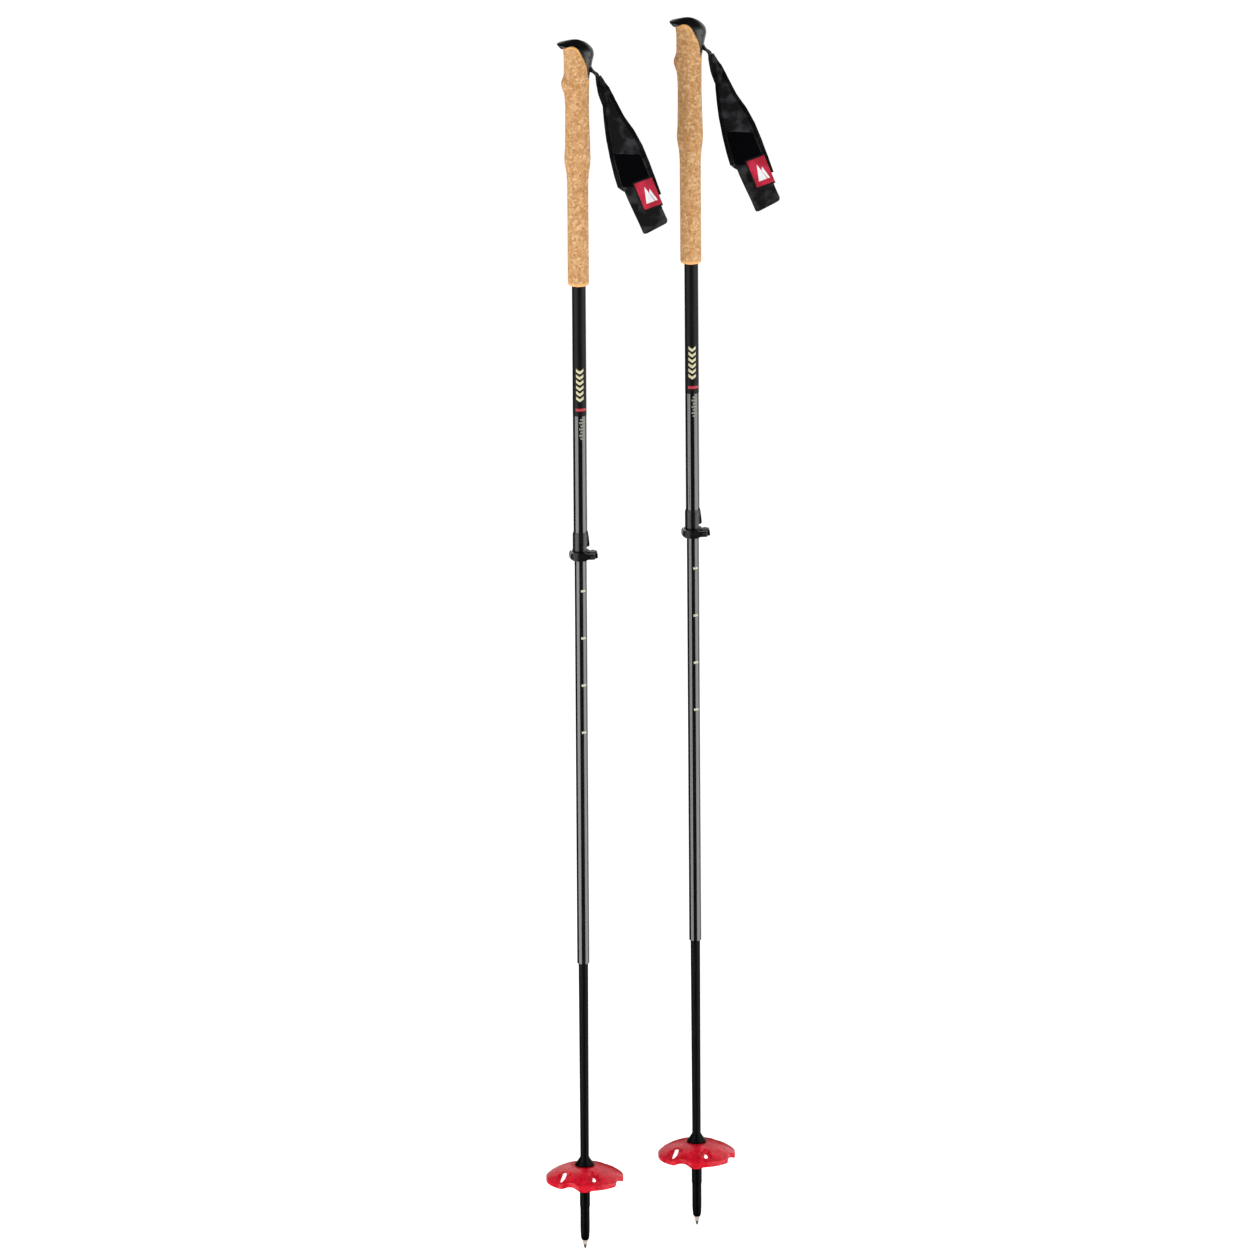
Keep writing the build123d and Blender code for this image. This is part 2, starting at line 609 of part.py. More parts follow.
PIECES = {
    "pommel_cap": pommel_cap,
    "cork_grip": cork_grip,
    "grip_plug": grip_plug,
    "strap_pin": strap_pin,
    "strap_anchor": strap_anchor,
    "strap_webbing": strap_webbing,
    "strap_cuff": strap_cuff,
    "strap_label": strap_label,
    "upper_shaft": upper_shaft,
    "lock_sleeve": lock_sleeve,
    "clamp_band": clamp_band,
    "cam_plate": cam_plate,
    "lock_lever": lock_lever,
    "lever_pin": lever_pin,
    "tension_screw": tension_screw,
    "tension_washer": tension_washer,
    "tension_nut": tension_nut,
    "lower_shaft": lower_shaft,
    "guide_bush": guide_bush,
    "reducer_bush": reducer_bush,
    "tip_tube": tip_tube,
    "tip_ferrule": tip_ferrule,
    "tip_holder": tip_holder,
    "carbide_tip": carbide_tip,
    "powder_basket": powder_basket,
}

os.makedirs("parts", exist_ok=True)
for piece_name, make_piece in PIECES.items():
    piece = make_piece()
    export_step(piece, f"parts/left_{piece_name}.step")
    export_step(Pos(*RIGHT_POLE) * piece, f"parts/right_{piece_name}.step")
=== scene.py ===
"""The looks of a pair of two-section trekking poles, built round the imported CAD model.

Lengths are in metres.  Each shape is made once for the left pole and once for the right
one, about that pole's own axis.
"""
import json
import math

import bpy
import numpy
from mathutils import Matrix, Vector, noise
from mathutils.kdtree import KDTree


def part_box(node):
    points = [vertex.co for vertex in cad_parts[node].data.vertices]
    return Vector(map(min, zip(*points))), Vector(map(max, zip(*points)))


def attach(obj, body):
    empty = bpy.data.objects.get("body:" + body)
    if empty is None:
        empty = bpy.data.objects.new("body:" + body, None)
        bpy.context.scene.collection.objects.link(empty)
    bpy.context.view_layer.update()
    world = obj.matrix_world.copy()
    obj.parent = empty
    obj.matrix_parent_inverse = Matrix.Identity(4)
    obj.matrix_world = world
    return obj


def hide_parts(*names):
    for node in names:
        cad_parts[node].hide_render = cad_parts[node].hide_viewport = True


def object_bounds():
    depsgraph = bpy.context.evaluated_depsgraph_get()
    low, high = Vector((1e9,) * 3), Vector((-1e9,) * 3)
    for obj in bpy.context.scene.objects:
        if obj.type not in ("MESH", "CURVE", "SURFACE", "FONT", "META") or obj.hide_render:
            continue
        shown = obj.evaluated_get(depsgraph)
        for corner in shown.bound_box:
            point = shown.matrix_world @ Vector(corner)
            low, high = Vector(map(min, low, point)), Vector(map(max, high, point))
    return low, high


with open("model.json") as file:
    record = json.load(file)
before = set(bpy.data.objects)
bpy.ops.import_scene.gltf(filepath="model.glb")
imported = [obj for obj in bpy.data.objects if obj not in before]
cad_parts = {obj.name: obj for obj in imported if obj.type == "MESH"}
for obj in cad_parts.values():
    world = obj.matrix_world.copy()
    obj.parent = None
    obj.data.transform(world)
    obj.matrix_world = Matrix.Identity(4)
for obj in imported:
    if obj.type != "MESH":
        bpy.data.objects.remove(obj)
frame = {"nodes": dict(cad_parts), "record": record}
cad_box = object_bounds()

MM = 0.001
SIDES = ("left", "right")


def centre(node):
    """The middle of a CAD node's box."""
    low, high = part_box(node)
    return (low + high) / 2


POLE_AXIS = {side: centre(f"{side}_lower_shaft").xy.to_3d() for side in SIDES}


# ---- materials ---------------------------------------------------------------------
class Finish:
    """A procedural material: one Principled shader and the textures that feed it."""

    def __init__(self, name, **settings):
        self.material = bpy.data.materials.new(name)
        self.material.use_nodes = True
        self.tree = self.material.node_tree
        self.shader = self.tree.nodes["Principled BSDF"]
        for setting, value in settings.items():
            self.shader.inputs[setting.replace("_", " ")].default_value = value
        self.place = self.tree.nodes.new("ShaderNodeTexCoord").outputs["Object"]

    def node(self, kind, values=(), links=(), **settings):
        """A new node, with its sockets' values, the outputs linked into it, and its settings."""
        made = self.tree.nodes.new(kind)
        for setting, value in settings.items():
            setattr(made, setting, value)
        for socket, value in dict(values).items():
            made.inputs[socket].default_value = value
        for socket, source in dict(links).items():
            self.tree.links.new(source, made.inputs[socket])
        return made

    def stretched(self, scale):
        """The place of each point, scaled along each axis."""
        return self.node("ShaderNodeMapping", {"Scale": scale}, {"Vector": self.place}).outputs[0]

    def noise(self, size, detail=3.0, stretch=(1, 1, 1)):
        """Cloudy variation whose features are about size metres across."""
        values = {"Scale": 1 / size, "Detail": detail}
        links = {"Vector": self.stretched(stretch)}
        return self.node("ShaderNodeTexNoise", values, links).outputs["Fac"]

    def cells(self, size, feature="F1"):
        """Granules about size metres across."""
        links = {"Vector": self.place}
        return self.node("ShaderNodeTexVoronoi", {"Scale": 1 / size}, links, feature=feature)

    def waves(self, pitch, direction, distortion):
        """Parallel ridges, pitch metres apart."""
        values = {"Scale": math.pi / (10 * pitch), "Distortion": distortion}
        return self.node("ShaderNodeTexWave", values, {"Vector": self.place},
                         bands_direction=direction).outputs["Fac"]

    def ramp(self, factor, *stops):
        """Colours blended by a factor, each stop a position and a colour."""
        made = self.node("ShaderNodeValToRGB", (), {"Fac": factor})
        ramp = made.color_ramp
        while len(ramp.elements) < len(stops):
            ramp.elements.new(0.5)
        for element, (position, colour) in zip(ramp.elements, stops):
            element.position = position
            element.color = (*colour, 1.0)
        return made.outputs["Color"]

    def mix(self, factor, a, b, blend="MIX"):
        made = self.node("ShaderNodeMix", (), (), data_type="RGBA", blend_type=blend)
        for socket, value in zip((made.inputs[0], made.inputs[6], made.inputs[7]), (factor, a, b)):
            if isinstance(value, bpy.types.NodeSocket):
                self.tree.links.new(value, socket)
            else:
                socket.default_value = value
        return made.outputs[2]

    def maths(self, operation, a, b):
        made = self.node("ShaderNodeMath", (), (), operation=operation)
        for socket, value in zip(made.inputs, (a, b)):
            if isinstance(value, bpy.types.NodeSocket):
                self.tree.links.new(value, socket)
            else:
                socket.default_value = value
        return made.outputs[0]

    def attribute(self, name):
        return self.node("ShaderNodeAttribute", attribute_name=name).outputs["Fac"]

    def colour(self, source):
        self.tree.links.new(source, self.shader.inputs["Base Color"])

    def rough(self, factor, low, high):
        values = {"To Min": low, "To Max": high}
        made = self.node("ShaderNodeMapRange", values, {"Value": factor})
        self.tree.links.new(made.outputs[0], self.shader.inputs["Roughness"])

    def relief(self, *layers):
        """Bump from one or more layers, each a height and how deep it goes in metres."""
        below = None
        for height, depth in layers:
            links = {"Height": height}
            if below:
                links["Normal"] = below
            below = self.node("ShaderNodeBump", {"Distance": depth}, links).outputs["Normal"]
        self.tree.links.new(below, self.shader.inputs["Normal"])


def plastic(name, tone, dust, roughness, grain, edge_wear_and_highlight=(0.05, 0.05, 0.05), **settings):
    """Moulded plastic: a fine spark-eroded grain, faint scuffing, and edges painted paler, which is
    wear and a painted highlight.
    """
    finish = Finish(name, **settings)
    cloud = finish.noise(9 * MM, detail=5.0)
    body = finish.ramp(cloud, (0.35, tone), (0.72, dust))
    # Paler towards the edges: wear and a painted highlight.
    finish.colour(finish.mix(finish.attribute("edge"), body, (*edge_wear_and_highlight, 1.0)))
    finish.rough(finish.noise(2.5 * MM, detail=4.0), roughness - 0.06, roughness + 0.08)
    finish.relief((finish.noise(0.35 * MM, detail=2.0), grain), (cloud, 0.5 * grain))
    return finish.material


def cork():
    """Pressed cork: granules in mixed tans, dark bark flecks, and paler edges, which are wear and a
    painted highlight along the chamfers.
    """
    finish = Finish("cork", Specular_IOR_Level=0.25)
    granule = 2.3 * MM
    granules = finish.cells(granule)
    tint = finish.node("ShaderNodeSeparateColor", (), {"Color": granules.outputs["Color"]}).outputs[0]
    body = finish.ramp(tint, (0.0, (0.43, 0.195, 0.066)), (0.3, (0.53, 0.275, 0.103)),
                       (0.7, (0.62, 0.35, 0.148)), (1.0, (0.75, 0.49, 0.25)))
    cloud = finish.noise(11 * MM, detail=4.0)
    body = finish.mix(finish.ramp(cloud, (0.42, (0, 0, 0)), (0.7, (0.45, 0.45, 0.45))), body,
                      (0.52, 0.245, 0.08, 1.0))
    flecks = finish.ramp(finish.noise(1.1 * MM, detail=3.0, stretch=(1, 1, 0.6)),
                         (0.66, (0, 0, 0)), (0.74, (0.55, 0.55, 0.55)))
    body = finish.mix(flecks, body, (0.25, 0.095, 0.03, 1.0))
    pale = finish.ramp(finish.noise(1.7 * MM, detail=2.0, stretch=(1, 1, 1.3)),
                       (0.62, (0, 0, 0)), (0.72, (0.6, 0.6, 0.6)))
    body = finish.mix(pale, body, (0.90, 0.66, 0.40, 1.0))
    body = finish.mix(1.0, body, (0.93, 0.93, 0.94, 1.0), "MULTIPLY")
    # Paler band along the edges: wear and a painted highlight where light catches the chamfers.
    edge_wear_and_highlight = finish.maths("MULTIPLY", finish.attribute("edge"), 0.85)
    finish.colour(finish.mix(edge_wear_and_highlight, body, (0.84, 0.44, 0.15, 1.0)))
    finish.rough(cloud, 0.72, 0.9)
    edges = finish.cells(granule, "DISTANCE_TO_EDGE").outputs["Distance"]
    seams = finish.ramp(edges, (0.0, (0, 0, 0)), (0.12, (1, 1, 1)))
    finish.relief((seams, 0.12 * MM), (finish.noise(0.7 * MM, detail=4.0), 0.14 * MM))
    return finish.material


def tube(name, tone, gleam, roughness, **settings):
    """Drawn tube under lacquer, with faint lines along its length."""
    finish = Finish(name, **settings)
    lines = finish.noise(0.5 * MM, detail=3.0, stretch=(1, 1, 0.02))
    finish.colour(finish.ramp(lines, (0.35, tone), (0.7, gleam)))
    finish.rough(lines, roughness - 0.03, roughness + 0.05)
    finish.relief((lines, 0.003 * MM))
    return finish.material


def metal(name, tone, shade, roughness, turning, metallic=1.0):
    """Turned or plated metal with fine tool marks."""
    finish = Finish(name, Metallic=metallic)
    lines = finish.noise(0.25 * MM, detail=3.0, stretch=turning)
    finish.colour(finish.ramp(lines, (0.3, shade), (0.7, tone)))
    finish.rough(lines, roughness - 0.06, roughness + 0.1)
    finish.relief((lines, 0.01 * MM))
    return finish.material


def woven(name, tone, thread, pitch, sheen, gloss=0.12):
    """Woven nylon: ribs across the strap and yarns along it, and paler patches in places, which are
    rubbing and a painted sheen.
    """
    finish = Finish(name, Sheen_Weight=sheen, Sheen_Roughness=0.4, Specular_IOR_Level=gloss)
    ribs = finish.waves(pitch, "Z", 0.4)
    yarns = finish.waves(pitch * 0.8, "X", 0.6)
    weave = finish.maths("MULTIPLY", ribs, yarns)
    fuzz = finish.noise(0.5 * MM, detail=3.0)
    # Paler patches: part rubbing, part a painted sheen that stands in for highlights on the folds.
    rubbing_and_sheen = finish.ramp(finish.noise(13 * MM, detail=5.0), (0.45, (0, 0, 0)), (0.62, (1, 1, 1)))
    weave_rubbing_and_sheen = finish.maths("ADD", finish.maths("MULTIPLY", weave, 0.5), rubbing_and_sheen)
    shade = finish.maths("MULTIPLY", weave_rubbing_and_sheen, fuzz)
    finish.colour(finish.ramp(shade, (0.04, tone), (0.85, thread)))
    finish.rough(fuzz, 0.4, 0.62)
    finish.relief((weave, 0.22 * MM), (fuzz, 0.08 * MM))
    return finish.material


def shade_velvet():
    """A near-black napped panel: painted shade for the shadow inside the strap's loop."""
    finish = Finish("cuff_painted_shade", Specular_IOR_Level=0.02)
    nap = finish.noise(0.6 * MM, detail=4.0)
    finish.colour(finish.ramp(nap, (0.3, (0.0002, 0.0002, 0.0005)), (0.8, (0.002, 0.002, 0.003))))
    finish.rough(nap, 0.9, 1.0)
    finish.relief((nap, 0.2 * MM))
    return finish.material


def basket_red():
    """Glossy red polyamide with slight depth and moulding flow lines."""
    finish = Finish("basket_red", Subsurface_Weight=0.1, Subsurface_Scale=0.003,
                    Specular_IOR_Level=0.22)
    finish.shader.inputs["Subsurface Radius"].default_value = (1.0, 0.1, 0.1)
    cloud = finish.noise(6 * MM, detail=5.0)
    finish.colour(finish.ramp(cloud, (0.3, (0.46, 0.001, 0.008)), (0.5, (0.60, 0.003, 0.018)),
                              (0.75, (0.74, 0.016, 0.042))))
    finish.rough(finish.noise(2.5 * MM, detail=4.0), 0.16, 0.34)
    finish.relief((finish.noise(0.6 * MM, detail=2.0), 0.05 * MM), (cloud, 0.5 * MM))
    return finish.material


def ink(name, tone, edge):
    """Printed ink, slightly uneven."""
    finish = Finish(name, Specular_IOR_Level=0.4)
    speckle = finish.noise(0.6 * MM, detail=3.0)
    finish.colour(finish.ramp(speckle, (0.3, edge), (0.6, tone)))
    finish.rough(speckle, 0.4, 0.55)
    return finish.material


MATERIALS = {
    "cork": cork(),
    "pommel_plastic": plastic("pommel_plastic", (0.0015, 0.002, 0.0025), (0.007, 0.008, 0.009), 0.3,
                              0.05 * MM, Specular_IOR_Level=0.42),
    "inner_plastic": plastic("inner_plastic", (0.03, 0.03, 0.03), (0.05, 0.05, 0.05), 0.5,
                             0.03 * MM),
    "lock_plastic": plastic("lock_plastic", (0.001, 0.0015, 0.002), (0.006, 0.007, 0.008), 0.26,
                            0.03 * MM, Specular_IOR_Level=0.42),
    # The lever's pale edge colour is wear and a painted highlight.
    "lever_plastic": plastic("lever_plastic", (0.001, 0.001, 0.0015), (0.005, 0.005, 0.006), 0.34,
                             0.03 * MM, (0.16, 0.16, 0.16), Specular_IOR_Level=0.22),
    "ferrule_plastic": plastic("ferrule_plastic", (0.0005, 0.001, 0.001), (0.002, 0.003, 0.003), 0.34,
                               0.02 * MM, Specular_IOR_Level=0.05),
    "upper_tube": tube("upper_tube", (0.0015, 0.0015, 0.0015), (0.006, 0.006, 0.006), 0.12,
                       Specular_IOR_Level=1.0),
    "satin_wrap": tube("satin_wrap", (0.002, 0.002, 0.002), (0.008, 0.008, 0.008), 0.38,
                       Specular_IOR_Level=0.1),
    "lower_tube": tube("lower_tube", (0.002, 0.002, 0.002), (0.009, 0.009, 0.010), 0.12,
                       Specular_IOR_Level=1.0),
    "tip_tube": tube("tip_tube", (0.001, 0.001, 0.001), (0.005, 0.005, 0.005), 0.42,
                     Specular_IOR_Level=0.06),
    "steel": metal("steel", (0.035, 0.035, 0.036), (0.015, 0.015, 0.016), 0.48, (1, 1, 1)),
    "tip_steel": metal("tip_steel", (0.70, 0.62, 0.56), (0.52, 0.45, 0.40), 0.42, (0.1, 0.1, 1),
                       0.2),
    "nut_metal": metal("nut_metal", (0.06, 0.06, 0.065), (0.03, 0.03, 0.035), 0.4, (1, 0.1, 1)),
    "carbide": metal("carbide", (0.20, 0.18, 0.16), (0.10, 0.09, 0.08), 0.42, (0.1, 0.1, 1), 0.6),
    "basket_plastic": basket_red(),
    "webbing": woven("webbing", (0.0003, 0.0003, 0.0004), (0.040, 0.040, 0.040), 0.9 * MM,
                     0.01, 0.08),
    "cuff_fabric": woven("cuff_fabric", (0.0002, 0.0002, 0.0003), (0.043, 0.043, 0.050), 0.7 * MM,
                         0.01, 0.08),
    # Near-black tape: real binding, and painted shade along the cuff's edges.
    "binding_and_edge_shade": woven("binding_and_edge_shade", (0.0003, 0.0003, 0.0003), (0.008, 0.008, 0.009), 1.1 * MM,
                     0.01, 0.04),
    # A dark panel of painted shade, for the shadow inside the loop.
    "painted_shade_panel": shade_velvet(),
    "label_border": woven("label_border", (0.0002, 0.0012, 0.001), (0.001, 0.007, 0.005), 0.6 * MM,
                          0.01),
    "label_fabric": woven("label_fabric", (0.36, 0.004, 0.022), (0.70, 0.022, 0.075), 0.5 * MM,
                          0.02),
    "label_thread": woven("label_thread", (0.75, 0.74, 0.76), (0.93, 0.92, 0.93), 0.5 * MM, 0.05),
    "thread": woven("thread", (0.006, 0.006, 0.006), (0.045, 0.045, 0.046), 0.5 * MM, 0.1),
    "gold_ink": ink("gold_ink", (0.64, 0.60, 0.38), (0.44, 0.41, 0.24)),
    "grey_ink": ink("grey_ink", (0.26, 0.25, 0.19), (0.12, 0.115, 0.09)),
    "red_ink": ink("red_ink", (0.48, 0.022, 0.04), (0.30, 0.01, 0.02)),
    "cream_ink": ink("cream_ink", (0.62, 0.60, 0.46), (0.42, 0.40, 0.30)),
}


def dress(piece, material):
    piece.data.materials.clear()
    piece.data.materials.append(MATERIALS[material])


def dress_cad():
    """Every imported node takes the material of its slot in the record."""
    for name, part in frame["nodes"].items():
        slot = next(s["material_slot"] for s in frame["record"]["subparts"] if s["node"] == name)
        for material_slot in part.material_slots:
            material_slot.link = "OBJECT"
            material_slot.material = MATERIALS[slot]


# ---- mesh helpers --------------------------------------------------------------------
def eased(value, low, high):
    """0 below low, 1 above high, and a smooth step between."""
    t = min(1.0, max(0.0, (value - low) / (high - low)))
    return t * t * (3 - 2 * t)


def add_piece(name, points, faces, body, slot, material, smooth=True):
    """A new mesh piece that rides on a body."""
    mesh = bpy.data.meshes.new(name)
    mesh.from_pydata([tuple(point) for point in points], [], faces)
    mesh.validate()
    mesh.polygons.foreach_set("use_smooth", [smooth] * len(mesh.polygons))
    piece = bpy.data.objects.new(name, mesh)
    bpy.context.scene.collection.objects.link(piece)
    dress(piece, material)
    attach(piece, body)
    return piece


def lofted(rings):
    """Points and faces of a closed skin through rings of equal length, with its ends capped."""
    count = len(rings[0])
    points = [point for ring in rings for point in ring]
    faces = []
    for row in range(len(rings) - 1):
        for k in range(count):
            a, b = row * count + k, row * count + (k + 1) % count
            faces.append((a, b, b + count, a + count))
    last = (len(rings) - 1) * count
    faces.append(tuple(reversed(range(count))))
    faces.append(tuple(range(last, last + count)))
    return points, faces


def joined(parts):
    """Several (points, faces) pairs as one."""
    points, faces = [], []
    for part_points, part_faces in parts:
        start = len(points)
        points.extend(part_points)
        faces.extend(tuple(index + start for index in face) for face in part_faces)
    return points, faces


def with_modifiers(piece, *modifiers):
    """The piece's mesh after modifiers, each a type and its settings."""
    for kind, settings in modifiers:
        modifier = piece.modifiers.new(kind.lower(), kind)
        for setting, value in settings.items():
            setattr(modifier, setting, value)
    graph = bpy.context.evaluated_depsgraph_get()
    mesh = bpy.data.meshes.new_from_object(piece.evaluated_get(graph))
    piece.modifiers.clear()
    old = piece.data
    piece.data = mesh
    bpy.data.meshes.remove(old)
    mesh.polygons.foreach_set("use_smooth", [True] * len(mesh.polygons))


def softened(name, node, body, slot, voxel, rounds):
    """A copy of a CAD node with its edges rounded over, to stand for that node."""
    source = frame["nodes"][node]
    piece = bpy.data.objects.new(name, source.data.copy())
    bpy.context.scene.collection.objects.link(piece)
    with_modifiers(
        piece,
        ("REMESH", {"mode": "VOXEL", "voxel_size": voxel, "use_smooth_shade": True}),
        ("SMOOTH", {"factor": 0.5, "iterations": rounds}),
    )
    dress(piece, slot)
    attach(piece, body)
    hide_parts(node)
    return piece


SHARP = math.radians(38)        # an edge whose faces turn by more than this counts as sharp


def sharp_edge_points(node, spacing):
    """Points along a CAD node's sharp outer edges."""
    mesh = frame["nodes"][node].data
    normals = {}
    for polygon in mesh.polygons:
        for key in polygon.edge_keys:
            ends = tuple(sorted(tuple(round(c, 6) for c in mesh.vertices[i].co) for i in key))
            normals.setdefault(ends, []).append(polygon.normal)
    found = []
    for (start, end), sides in normals.items():
        if len(sides) == 2 and sides[0].angle(sides[1], 0.0) > SHARP:
            start, end = Vector(start), Vector(end)
            steps = max(1, int((end - start).length / spacing))
            found.extend(start.lerp(end, k / steps) for k in range(steps + 1))
    return found


def mark_edges(piece, points, reach):
    """Paints the attribute edge: 1 near the given points, fading to 0 from half of the reach."""
    tree = KDTree(len(points))
    for index, point in enumerate(points):
        tree.insert(point, index)
    tree.balance()
    edge = piece.data.attributes.new("edge", "FLOAT", "POINT")
    values = [1 - eased(tree.find(vertex.co)[2], reach / 2, reach) for vertex in piece.data.vertices]
    edge.data.foreach_set("value", values)


# ---- grip ----------------------------------------------------------------------------
CORK_VOXEL = 0.75 * MM
CORK_WEAR_AND_HIGHLIGHT = 3.0 * MM            # how far in from its edges the cork is painted paler, for wear and a painted highlight
POMMEL_VOXEL = 0.35 * MM
BORE_R = 9.0 * MM               # the cork's outer face is all further out than this


def cork_relief(place):
    """How far a granule stands proud of the cork, or a pit sinks into it."""
    grain = noise.noise(place / (1.9 * MM))
    pits = noise.noise(place / (3.1 * MM) + Vector((7, 3, 1)))
    return 0.10 * MM * grain - 0.35 * MM * max(0.0, pits - 0.42)


def make_cork(side):
    """The cork handle, softened, with its granules and pits standing in its outer face."""
    body = f"{side}_upper_section"
    piece = softened(f"{side}_cork_handle", f"{side}_cork_grip", body, "cork", CORK_VOXEL, 2)
    # Marks the cork's edges for their paler band: wear and a painted highlight.
    mark_edges(piece, sharp_edge_points(f"{side}_cork_grip", 1 * MM), CORK_WEAR_AND_HIGHLIGHT)
    axis = POLE_AXIS[side]
    for vertex in piece.data.vertices:
        spoke = (vertex.co - axis) * Vector((1, 1, 0))
        if spoke.length > BORE_R:
            vertex.co += spoke.normalized() * cork_relief(vertex.co)


def make_pommel(side):
    softened(f"{side}_pommel", f"{side}_pommel_cap", f"{side}_upper_section", "pommel_plastic",
             POMMEL_VOXEL, 3)


# ---- lock ----------------------------------------------------------------------------
LEVER_VOXEL = 0.22 * MM
LEVER_END = 4 * MM              # the length of the lever's end that fingers open it by
LEVER_WEAR_AND_HIGHLIGHT = 1.5 * MM           # how far in from its edges that end is painted paler, for wear and a painted highlight


def make_lever(side):
    """The lever with its edges rounded, and its end painted paler where fingers open it: wear and a
    painted highlight.
    """
    node = f"{side}_lock_lever"
    piece = softened(f"{side}_worn_lever", node, f"{side}_lever", "lever_plastic", LEVER_VOXEL, 2)
    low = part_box(node)[0]
    edges = sharp_edge_points(node, 0.5 * MM)
    # Marks the end's edges for their paler colour: wear and a painted highlight.
    mark_edges(piece, [point for point in edges if point.x < low.x + LEVER_END], LEVER_WEAR_AND_HIGHLIGHT)


# ---- strap -----------------------------------------------------------------------------
STRAP_LENGTH = 184 * MM         # a share of the length, below, is a share of this
STRAP_LEAN = math.radians(20.6)     # from upright
STRAP_TWIST = math.radians(88.0)    # how far its face is turned at the pommel
FLAT_UNTIL = 0.02               # share of the length where the strap starts to turn
TURNED_AT = 0.38                # share of the length where the strap has turned to the front
STRAP_BOW = 3.6 * MM            # how far its top swings out from the line of its lean
EXIT_HEIGHT = 1251.5 * MM
EXIT_REACH = 14.0 * MM          # from the pole's axis to where the webbing leaves the pommel
FOLD = 0.965                    # share of the length where the webbing folds back
FOLD_SLANT = 1.6 * MM           # how much further the fold hangs at its inner corner
BEAD_R = 1.6 * MM               # the rolled end that turns in the pommel's slot
EXIT_DROP = 2.2 * MM            # how far that end hangs below the line of the strap
TUCK = 2.6 * MM                 # how much of it stays inside the pommel, at every swing
WEBBING_TOP = 4.2 * MM          # half of the webbing's width at the pommel
WEBBING_GAIN = 9.8 * MM         # what that half would gain over the strap's whole length
HALF_PLY = 0.8 * MM             # half of the webbing's thickness


def loop_gap(share):
    """Half of the room between the strap's two legs, which close up at the pommel."""
    gap = (1.0 + 1.4 * share + 7.2 * math.sin(math.pi * share)) * MM
    return gap * (0.5 + 0.5 * eased(share, 0.0, 0.3))


def strap_point(side, share, across, out):
    """A point of the strap from its share of the length, and distances across and out of it."""
    down = Vector((math.sin(STRAP_LEAN), 0, -math.cos(STRAP_LEAN)))
    level = Vector((math.cos(STRAP_LEAN), 0, math.sin(STRAP_LEAN)))
    bow = STRAP_BOW * eased(share, -0.01, 0.055) * (1 - 0.75 * eased(share, 0.35, 0.72))
    turned = min(1.0, max(0.0, (share - FLAT_UNTIL) / (TURNED_AT - FLAT_UNTIL)))
    turn = STRAP_TWIST * (1 - math.sin(turned * math.pi / 2)) ** 1.2
    width_way = level * math.cos(turn) + Vector((0, math.sin(turn), 0))
    out_way = level * math.sin(turn) - Vector((0, math.cos(turn), 0))
    drop = EXIT_DROP * (1 - eased(share, -0.01, 0.06))
    start = POLE_AXIS[side] + Vector((EXIT_REACH, 0, EXIT_HEIGHT - drop))
    return start + down * (share * STRAP_LENGTH) + level * bow + width_way * across + out_way * out


def steps(start, end, count):
    """Values from start to end, both taken in, with count equal steps between them."""
    return [start + (end - start) * k / count for k in range(count + 1)]


def flat_ring(count, roundness):
    """A flat closed outline from -1 to 1 each way, as (across, out) pairs."""
    upper = [-math.cos(math.pi * k / count) for k in range(count + 1)]
    height = [(1 - abs(u) ** roundness) ** 0.5 for u in upper]
    front = list(zip(upper, height))
    back = [(u, -h) for u, h in reversed(front[1:-1])]
    return front + back


BAND_RING = flat_ring(22, 12)
CUFF_RING = flat_ring(30, 5)
PAD_RING = flat_ring(26, 10)
CORD_RING = [(math.cos(2 * math.pi * k / 12), math.sin(2 * math.pi * k / 12)) for k in range(12)]

# The cuff from top to bottom: shares of the strap's length, and in millimetres half of its
# width there and how far its middle stands towards its outer side.
CUFF_SHARES = (0.06, 0.12, 0.21, 0.31, 0.40, 0.50, 0.60, 0.70, 0.80)
CUFF_WIDTHS = (3.4, 4.3, 6.6, 10.2, 14.4, 17.2, 18.6, 19.1, 18.8)
CUFF_SHIFTS = (0.0, 0.0, -0.7, -0.9, -0.4, -0.1, -0.2, -0.5, -0.9)
CUFF_START = CUFF_SHARES[0]
BINDING_AND_SHADE_HALF = 2.5 * MM         # half of the binding tape's width, widened so that it also paints the shade along the cuff's edges
BINDING_INSET = 1.8 * MM        # from the cuff's edge in to the tape's middle
STITCH_INSET = 4.8 * MM         # from the cuff's edge in to the row of stitches
SHADE_PANEL_INSET = 4.6 * MM         # from the cuff's edge in to the panel of painted shade
SHADE_PANEL_SHARES = (0.515, 0.715)


def cuff_half_width(share):
    """Half of the cuff's width, which grows towards the wrist."""
    return float(numpy.interp(share, CUFF_SHARES, CUFF_WIDTHS)) * MM


def cuff_shift(share):
    """How far the cuff's middle stands towards its outer side."""
    return float(numpy.interp(share, CUFF_SHARES, CUFF_SHIFTS)) * MM


def band_half_width(share):
    """Half of the front band's width, which narrows towards the fold."""
    return (15.3 - 1.5 * eased(share, 0.74, 0.95)) * MM


def slanted(share, u):
    """A share of the length, moved so that the fold hangs lower at its inner side."""
    return share - u * FOLD_SLANT / STRAP_LENGTH * eased(share, 0.75, FOLD)


def creases(share, u):
    """Soft folds across the strap's face."""
    wave = noise.noise(Vector((share * 26 + 0.9 * u, u * 0.8, 3.7)))
    return 0.95 * MM * wave * eased(share, 0.08, 0.16) * (1 - 0.7 * eased(share, 0.47, 0.52))


